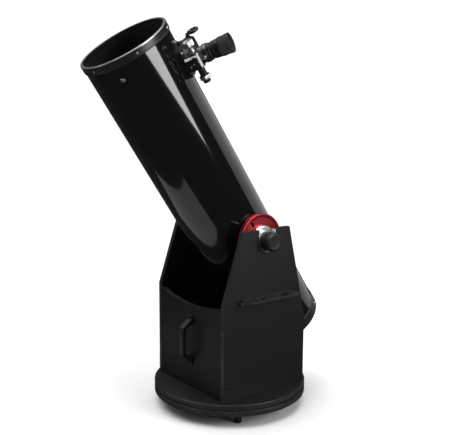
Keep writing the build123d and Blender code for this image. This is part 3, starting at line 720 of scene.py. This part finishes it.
# Hand knob: fluted grip, a plain domed face and a bolt into the hub.
def tensionKnob(name, node, body, place):
    knob = {"bolt": 5, "clear": 0.3, "dish": 1.6, "steps": 300,
            "grip": [(5, 0), (1.5, 0.4), (0.4, 1.4), (0, 3), (0, 12)],
            "crown": [(0, 10), (0.5, 7.6), (1.7, 6.4), (3.2, 6), (4, 5.4), (4.2, 3),
                      (5.2, 1.2), (7.4, 0.2), (10, 0), (12, 0.6), (18, 1.2)]}
    flutes = {"first": 5, "last": 9, "count": 30, "depth": 1.9, "sharp": 2}
    low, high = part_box(node)
    outer = (high.z - low.z) / 2 / mm
    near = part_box("altitude_washers")[1].x / mm + knob["clear"]
    start, far = sorted((abs(low.x) / mm, abs(high.x) / mm))
    profile = [(0, start), (knob["bolt"], start), (knob["bolt"], near)]
    profile += stepped(outer, near, knob["grip"]) + stepped(outer, far, knob["crown"], -1)
    profile += [(0, far - knob["dish"])]
    bm = lathe(bmesh.new(), profile, place, knob["steps"], 0, None, flutes)
    finishPiece(name, body, bm, [blackPlastic], [node], 0, 40)


altitudeDiscs()
altitudeHubs()
tensionKnob("tensionKnobRight", "altitude_knob_right", "tension_right", rightPlace)
tensionKnob("tensionKnobLeft", "altitude_knob_left", "tension_left", leftPlace)
print("bearings made")


# Black plate whose bevelled edges are polished bright.
def brightEdged(name, body, bm, nodes, bevel, face=blackAlloy):
    piece = finishPiece(name, body, bm, [face, rimBright], nodes, bevel, crease, 1)
    piece.modifiers["edges"].material = 1
    return piece


# Plate outline: square at near, its two corners at far cut off.
def cornered(half, near, far, cut):
    return [(-half, near), (half, near), (half, far - cut), (half - cut, far),
            (cut - half, far), (-half, far - cut)]


# Base plate with polished edges and a turned column that guides the drawtube.
def focuserBody():
    body = {"half": (46, 42), "corner": 8, "plate": 4, "edge": 0.8, "bore": 28.3, "lip": 0.8,
            "column": 36, "seat": 24, "wingEdge": 1}
    root = [(-5, 4), (-4.6, 5.4), (-1.4, 9), (0, 12), (0, 22), (0.9, 22.8), (0.9, 24.4), (0, 25.2)]
    crown = [(0, 12), (0.9, 11.2), (0.9, 9.6), (0, 8.8), (0, 1.2), (1.2, 0)]
    base, top = ends("focuser_body", focusFoot, focusAxis)
    x, y = body["half"]
    face = base + body["plate"]
    plate = rounded([(-x, -y), (x, -y), (x, y), (-x, y)], body["corner"])
    bm = slab(bmesh.new(), [plate, circle((0, 0), body["bore"], 64)], base, face, focusPlace)
    brightEdged("focuserPlate", "tube", bm, ["focuser_body"], body["edge"] * mm)
    bore, lip = body["bore"], body["lip"]
    profile = [(bore, face)] + stepped(body["column"], base, root)
    profile += stepped(body["column"], top, crown, -1) + [(bore + lip, top), (bore, top - lip)]
    bm = lathe(bmesh.new(), profile, focusPlace, 96)
    piece = finishPiece("focuserColumn", "tube", bm, [blackAlloy], ["focuser_body"])
    flat = [(-27, 28.6), (27, 28.6), (27, 60), (-27, 60)]  # the side where the bridge sits
    carve(piece, slab(bmesh.new(), [flat], base + body["seat"], top + 9, focusPlace))
    bm = slab(bmesh.new(), [cornered(26, 29, 48, 2)], face, base + body["seat"], focusPlace)
    finishPiece("focuserWing", "tube", bm, [blackAlloy], ["focuser_body"], body["wingEdge"] * mm)


# Bridge over the roller: a polished top plate, a pale strip down its near side, cap screws.
def shaftBlock():
    bridge = {"edge": 1.2, "plate": 3, "plateEdge": 0.7, "screwX": (-19, 19), "screwY": (35, 46)}
    screw = {"sunk": 0.4, "steps": 20,
             "outline": [(0, 0), (2.4, 0), (2.4, 0.9), (1.8, 1.4), (1.2, 1.4), (1.1, 0.5), (0, 0.5)]}
    strip = {"sides": (14.5, 22.8), "out": 52.3, "under": 48, "thick": 0.8, "edge": 0.25,
             "below": 18, "seam": 0.4}
    faceScrew = {"places": ((-9, 180), (-3, 194), (-1, 210)), "head": 3.1, "steps": 24,
                 "crown": [(0, -1), (0, 1.6), (0.7, 2.2)],
                 "socket": [(1.5, 2.2), (1.4, 0.9), (0, 0.9)]}
    base, top = ends("shaft_block", focusFoot, focusAxis)
    under = top - bridge["plate"]
    bm = slab(bmesh.new(), [cornered(26, 29.4, 52, 3)], base, under, focusPlace)
    finishPiece("shaftBridge", "tube", bm, [blackAlloy], ["shaft_block"], bridge["edge"] * mm)
    bm = slab(bmesh.new(), [cornered(24, 31, 50, 2)], under, top, focusPlace)
    brightEdged("shaftPlate", "tube", bm, ["shaft_block"], bridge["plateEdge"] * mm, satinPlate)

    left, right = strip["sides"]
    out, seam = strip["out"], base - strip["seam"]

    def stripOutline(near):
        return [(left, near), (right, near), (right, out), (left, out)]

    bm = slab(bmesh.new(), [stripOutline(strip["under"])], base - strip["below"], seam, focusPlace)
    slab(bm, [stripOutline(out - strip["thick"])], seam, under - strip["seam"], focusPlace)
    finishPiece("bridgeStrip", "tube", bm, [satinPlate], ["shaft_block"], strip["edge"] * mm)

    bm = bmesh.new()
    for x in bridge["screwX"]:
        for y in bridge["screwY"]:
            seat = Vector((x, y, top - screw["sunk"])) * mm
            lathe(bm, screw["outline"], focusPlace @ Matrix.Translation(seat), screw["steps"])
    head = [(0, -1)] + stepped(faceScrew["head"], 0, faceScrew["crown"]) + faceScrew["socket"]
    outward = Matrix.Rotation(math.radians(-90), 4, "X")
    for x, z in faceScrew["places"]:
        seat = Vector((x, out if z > base else strip["under"], z)) * mm
        lathe(bm, head, focusPlace @ Matrix.Translation(seat) @ outward, faceScrew["steps"])
    finishPiece("bridgeScrews", "tube", bm, [steel], ["shaft_block"])


def focusKnobs():
    knurl = {"count": 44, "depth": 0.8, "sharp": 1, "steps": 264}
    farKnob = {"radius": 19,
               "neck": [(3, 30), (9, 30), (9.6, 31), (9.6, 36), (8.4, 37), (8.4, 47), (10, 52),
                        (17.4, 53), (18.6, 54), (19, 55)],
               "face": [(0, 2.4), (0.6, 1), (1.8, 0), (7, 0), (8, 1.6), (16, 2)]}
    nearKnob = {"radius": 18,
                "outline": [(15, 13), (2, 13), (0.8, 12.2), (0, 11), (0, 2.2), (0.7, 0.8), (2, 0),
                            (4, 0), (4.6, 0.8), (15, 0.8)]}
    micro = {"radius": 12.5, "stem": 2, "steps": 180,
             "outline": [(3.1, 0), (2.1, 0.3), (0.7, 0.9), (0, 2), (0, 9), (0.7, 10.2), (1.9, 11),
                         (10.5, 11)]}
    microFlutes = {"first": 4, "last": 5, "count": 30, "depth": 0.8, "sharp": 1}
    low, high = ends("coarse_knobs", shaftPoint, tubeAxis)
    bm = bmesh.new()
    profile = farKnob["neck"] + stepped(farKnob["radius"], high, farKnob["face"], -1)
    lathe(bm, profile, shaftPlace, knurl["steps"], 0, None, {"first": 9, "last": 10, **knurl})
    profile = stepped(nearKnob["radius"], low, nearKnob["outline"])
    lathe(bm, profile, shaftPlace, knurl["steps"], 0, None, {"first": 3, "last": 4, **knurl})
    finishPiece("coarseKnobs", "coarse_focus", bm, [knobSilver], ["coarse_knobs"], 0, 38)
    low, high = ends("micro_knob", shaftPoint, tubeAxis)
    profile = [(0, low)] + stepped(micro["radius"], low, micro["outline"])
    profile += [(micro["stem"], high), (0, high)]
    bm = lathe(bmesh.new(), profile, shaftPlace, micro["steps"], 0, None, microFlutes)
    finishPiece("microKnob", "micro_focus", bm, [blackAlloy], ["micro_knob"], 0, 38)


def reducerHousing():
    housing = {"bore": 3.4, "radius": 12,
               "nose": [(3, 0), (2.2, 0.8), (0.8, 3), (0, 4.6), (0, 9), (0.6, 9.6), (0.6, 11),
                        (0, 11.6)]}
    low, high = ends("reducer_housing", shaftPoint, tubeAxis)
    bore, radius = housing["bore"], housing["radius"]
    profile = [(bore, low)] + stepped(radius, low, housing["nose"]) + [(radius, high), (bore, high)]
    bm = lathe(bmesh.new(), profile, shaftPlace, 64)
    finishPiece("reducerHousing", "tube", bm, [blackAlloy], ["reducer_housing"])


# Black bright-turned tube with a ringed collar for the eyepiece.
def drawtubePiece():
    draw = {"bore": 25.45, "tube": 28, "collar": 30.5, "grooves": (11.6, 9.2),
            "groove": [(0, 0), (0.7, 0.4), (0.7, 1), (0, 1.4)], "foot": [(0.4, 0), (0, 0.4)],
            "shoulder": [(2.5, 15.4), (1.9, 15), (0.6, 14), (0, 13.4)],
            "rim": [(0, 1.8), (0.5, 0.7), (1.6, 0)], "mouth": [(-0.7, 0), (0, 0.7)]}
    low, high = ends("drawtube", focusFoot, focusAxis)
    profile = [(draw["bore"], low)] + stepped(draw["tube"], low, draw["foot"])
    profile += stepped(draw["collar"], high, draw["shoulder"], -1)
    for groove in draw["grooves"]:
        profile += stepped(draw["collar"], high - groove, draw["groove"])
    profile += stepped(draw["collar"], high, draw["rim"], -1)
    profile += stepped(draw["bore"], high, draw["mouth"], -1)
    bm = lathe(bmesh.new(), profile, focusPlace, 128)
    finishPiece("drawtubeCollar", "drawtube", bm, [drawAlloy], ["drawtube"])


# Biconvex lens outline; the bulges are the heights of its two curved faces.
def lensProfile(radius, low, high, bulgeLow, bulgeHigh, steps=8):
    profile = [(radius * i / steps, low + bulgeLow * (i / steps) ** 2) for i in range(steps + 1)]
    profile += [(radius * i / steps, high - bulgeHigh * (i / steps) ** 2) for i in range(steps, -1, -1)]
    return profile


def eyepieceShell():
    # body: radius, and height above the end of the drawtube
    shell = {"bore": 21, "barrel": 25.4, "chamfer": 0.6, "throat": 19, "throatAt": 20, "step": 16,
             "body": [(25.4, 0.3), (27.6, 0.3), (28.2, 1), (28.2, 8.2), (27.4, 9.2), (26, 10.4),
                      (26, 14.6), (27.6, 16), (28.6, 17.4), (28.9, 22), (28.3, 22.6), (28.3, 23.8),
                      (29, 24.4), (29.5, 34)]}
    low, high = ends("eyepiece_body", focusFoot, focusAxis)
    seat = ends("drawtube", focusFoot, focusAxis)[1]
    chamfer = shell["chamfer"]
    profile = [(shell["bore"], low)] + stepped(shell["barrel"], low, [(chamfer, 0), (0, chamfer)])
    profile += [(radius, seat + rise) for radius, rise in shell["body"]]
    profile += [(profile[-1][0], high), (shell["throat"], high)]
    profile += [(shell["throat"], seat + shell["throatAt"]), (shell["bore"], seat + shell["step"])]
    bm = lathe(bmesh.new(), profile, focusPlace, 128)
    finishPiece("eyepieceShell", "eyepiece", bm, [blackAlloy], ["eyepiece_body"])


def rubberEyecup():
    cup = {"ribs": 4, "firstRib": 3, "ribPitch": 3.6, "ribRadius": 31.9, "lip": 33,
           "foot": [(29.5, 0), (30.6, 0.2), (31.2, 1)],
           "rib": [(0.3, 0), (0, 0.6), (0, 1.6), (0.3, 2.2), (1, 2.8)],
           "flare": [(31.6, 20), (32, 25), (32.6, 30)],
           "mouth": [(0, 4), (0, 1.6), (0.6, 0.4), (1.4, 0), (2.4, 0.4), (3.2, 2), (5, 12),
                     (7, 15.4), (10, 16), (10, 16.4), (3.5, 16.4)]}
    low, high = ends("eyecup", focusFoot, focusAxis)
    profile = [(radius, low + rise) for radius, rise in cup["foot"]]
    for rib in range(cup["ribs"]):
        level = low + cup["firstRib"] + rib * cup["ribPitch"]
        profile += stepped(cup["ribRadius"], level, cup["rib"])
    profile += [(radius, low + rise) for radius, rise in cup["flare"]]
    profile += stepped(cup["lip"], high, cup["mouth"], -1)
    bm = lathe(bmesh.new(), profile, focusPlace, 128)
    finishPiece("rubberEyecup", "eyepiece", bm, [softRubber], ["eyecup"], 0, 50)


def eyepieceLenses():
    field = {"radius": 21, "thick": 8, "bulges": (2.2, 0.2)}
    eye = {"radius": 19, "thick": 9, "bulges": (0.2, 3)}
    low, high = ends("eye_lenses", focusFoot, focusAxis)
    bm = bmesh.new()
    for lens, start in ((field, low), (eye, high - eye["thick"])):
        profile = lensProfile(lens["radius"], start, start + lens["thick"], *lens["bulges"])
        lathe(bm, profile, focusPlace, 64)
    finishPiece("eyepieceLenses", "eyepiece", bm, [eyeGlass], ["eye_lenses"], 0, 50)


# Placement at a joint, with Z along the joint's axis.
def jointPlace(name):
    axis = Vector(joints[name]["axis"]).normalized()
    return framing(Vector(joints[name]["pos_m"]), axis, focusAxis)


# A stem with a fluted head for each small screw and dial, in mm from its joint.
def thumbscrews():
    head = {"round": 1.6, "dome": 0.2, "steps": 112}
    flutes = {"first": 6, "last": 7, "count": 14, "depth": 0.7, "sharp": 1}
    screws = {
        "collarThumbscrew": {"node": "collar_screw", "joint": "collar_screw_turn", "finish": knobSilver,
                             "stem": 2.0, "tip": -10.1, "start": -3, "end": 10, "radius": 4.5},
        "focusLockKnob": {"node": "focus_lock_screw", "joint": "focus_lock_turn", "finish": blackAlloy,
                          "stem": 2.0, "tip": -6.5, "start": -2, "end": 6, "radius": 7.0},
        "finderClampKnob": {"node": "finder_clamp_screw", "joint": "finder_clamp_turn",
                            "finish": knobSilver,
                            "stem": 1.5, "tip": -6, "start": -2.4, "end": 7, "radius": 5.0},
        "finderDial": {"node": "finder_dial", "joint": "finder_dial_turn", "finish": blackPlastic,
                       "stem": 2.0, "tip": -7, "start": -2.6, "end": 4, "radius": 8.0},
    }
    for name, screw in screws.items():
        stem, tip, radius, end = screw["stem"], screw["tip"], screw["radius"], screw["end"]
        profile = [(0, tip), (stem - 0.4, tip), (stem, tip + 0.4), (stem, screw["start"])]
        profile += stepped(radius, screw["start"], [(1.2, 0), (0.3, 0.4), (0, 1.2)])
        profile += stepped(radius, end, [(0, head["round"]), (0.4, 0.6), (1.3, 0)], -1)
        profile += [(0, end + head["dome"])]
        bm = lathe(bmesh.new(), profile, jointPlace(screw["joint"]), head["steps"], 0, None, flutes)
        finishPiece(name, bodies[screw["node"]], bm, [screw["finish"]], [screw["node"]], 0, 40)


focuserBody()
shaftBlock()
focusKnobs()
reducerHousing()
drawtubePiece()
eyepieceShell()
rubberEyecup()
eyepieceLenses()
thumbscrews()
print("focuser made")


def finderWindow():
    window = {"edge": 0.3, "glass": 1.2,
              "inside": [(0, -4), (-1.4, -5.2)], "rim": [(0.9, -4.4), (0, -3), (0, 3), (0.9, 4.2)],
              "outside": [(-1.6, 4.8), (0, 4)]}
    low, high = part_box("finder_glass")
    centre = (low + high) / 2
    place = framing(centre, tubeAxis, focusAxis)
    clear = girth("finder_glass", centre, tubeAxis)
    outer = girth("finder_ring", centre, tubeAxis)
    hoop = stepped(clear, 0, window["inside"]) + stepped(outer, 0, window["rim"])
    bm = lathe(bmesh.new(), hoop + stepped(clear, 0, window["outside"]), place, 96)
    finishPiece("finderHoop", "tube", bm, [blackPlastic], ["finder_ring"], window["edge"] * mm)
    thick = window["glass"]
    bm = lathe(bmesh.new(), [(0, -thick), (clear, -thick), (clear, thick), (0, thick)], place, 64)
    finishPiece("finderWindow", "tube", bm, [sightGlass], ["finder_glass"])


finderWindow()
print("finder made")

# nodes that keep the mesh of the frame, by finish
kept = [
    (steel, ["azimuth_bolt", "azimuth_track", "tube_screws", "vane_bolts", "secondary_screws",
             "cell_springs", "bearing_bolts", "focus_shaft"]),
    (whiteSlip, ["azimuth_pads", "cradle_liners"]),
    (blackAlloy, ["panel_screws", "fitting_screws", "focuser_saddle", "finder_shoe"]),
    (castBlack, ["spider", "secondary_holder", "mirror_carrier", "cell_frame", "altitude_saddles"]),
    (coating, ["secondary_mirror"]),
    (blackPlastic, ["mirror_clips", "collimation_knob_1", "collimation_knob_2",
                    "collimation_knob_3", "finder_body"]),
    (fanPlastic, ["fan_frame", "fan_rotor"]),
    (silverTurned, ["altitude_washers"]),
]
for finish, nodes in kept:
    for node in nodes:
        mesh = frame["nodes"][node].data
        mesh.materials.clear()
        mesh.materials.append(finish)
print("kept nodes finished")


def makeFloor():
    look = {"low": (0.9, 0.9, 0.9), "high": (0.94, 0.94, 0.94), "cloud": 3, "rough": 0.9, "gloss": 0.1,
            "radius": 14}
    studio = Finish("studioFloor", {"Specular IOR Level": look["gloss"]})
    grain = studio.noise(look["cloud"], 3)
    studio.feed("Base Color", studio.blotch(grain, look["low"], look["high"]))
    studio.feed("Roughness", grain * 0.05 + look["rough"])
    bm = bmesh.new()
    bmesh.ops.create_circle(bm, cap_ends=True, radius=look["radius"], segments=96)
    mesh = bpy.data.meshes.new("floor")
    bm.to_mesh(mesh)
    bm.free()
    mesh.materials.append(studio.material)
    floor = bpy.data.objects.new("floor", mesh)
    bpy.context.scene.collection.objects.link(floor)
    floor.visible_glossy = False


def aim(thing, place, target):
    thing.location = place
    thing.rotation_mode = "QUATERNION"
    thing.rotation_quaternion = (Vector(target) - Vector(place)).to_track_quat("-Z", "Y")


def addLamp(name, light, place, target):
    lamp = bpy.data.objects.new(name, light)
    bpy.context.scene.collection.objects.link(lamp)
    aim(lamp, place, target)
    return lamp


def softbox(name, place, target, size, power):
    light = bpy.data.lights.new(name, "AREA")
    light.shape = "RECTANGLE"
    light.size, light.size_y = size
    light.energy = power
    addLamp(name, light, place, target).visible_camera = False


def makeLights():
    # place, target, width and height in metres, power in watts
    boxes = {
        "leftStrip": ((-1.3, -3.2, 2.2), (0, -0.2, 0.9), (0.35, 2.2), 14),
        "rightStrip": ((3.4, 1.2, 1.9), (0, 0, 0.8), (2.0, 2.4), 94),
        "rearGlow": ((-0.4, 3.8, 1.2), (0, 0, 0.8), (4.4, 2.4), 16),
        "bounceCard": ((-0.14, -0.61, 0.02), (-0.14, -0.61, 1), (1.3, 0.34), 0.6),
    }
    ceiling = {"place": (-0.4, -0.5, 4), "energy": 3.4, "spread": 70}
    backdrop = {"onObjects": 0.03, "seen": 1.05}  # white world: dim as a light, bright to the eye
    sun = bpy.data.lights.new("ceilingGlow", "SUN")
    sun.energy = ceiling["energy"]
    sun.angle = math.radians(ceiling["spread"])
    addLamp("ceilingGlow", sun, ceiling["place"], (0, 0, 0))
    for name, settings in boxes.items():
        softbox(name, *settings)
    world = bpy.data.worlds.new("studio")
    bpy.context.scene.world = world
    world.use_nodes = True
    nodes, links = world.node_tree.nodes, world.node_tree.links
    background = nodes["Background"]
    eye = nodes.new("ShaderNodeLightPath")
    level = nodes.new("ShaderNodeMapRange")
    background.inputs["Color"].default_value = (1, 1, 1, 1)
    level.inputs["To Min"].default_value = backdrop["onObjects"]
    level.inputs["To Max"].default_value = backdrop["seen"]
    links.new(eye.outputs["Is Camera Ray"], level.inputs["Value"])
    links.new(level.outputs["Result"], background.inputs["Strength"])


def makeCamera():
    shot = {"place": (2.1432, -1.675, 1.1538), "target": (-0.0332, 0.0325, 0.6918),
            "roll": 0.417, "lens": 57.91, "sensor": 36}
    data = bpy.data.cameras.new("camera")
    data.lens = shot["lens"]
    data.sensor_width = shot["sensor"]
    camera = bpy.data.objects.new("camera", data)
    bpy.context.scene.collection.objects.link(camera)
    bpy.context.scene.camera = camera
    aim(camera, shot["place"], shot["target"])
    roll = Matrix.Rotation(math.radians(shot["roll"]), 3, "Z").to_quaternion()
    camera.rotation_quaternion = camera.rotation_quaternion @ roll


makeFloor()
makeLights()
makeCamera()
bpy.context.scene.view_settings.view_transform = "Standard"
print("studio made")
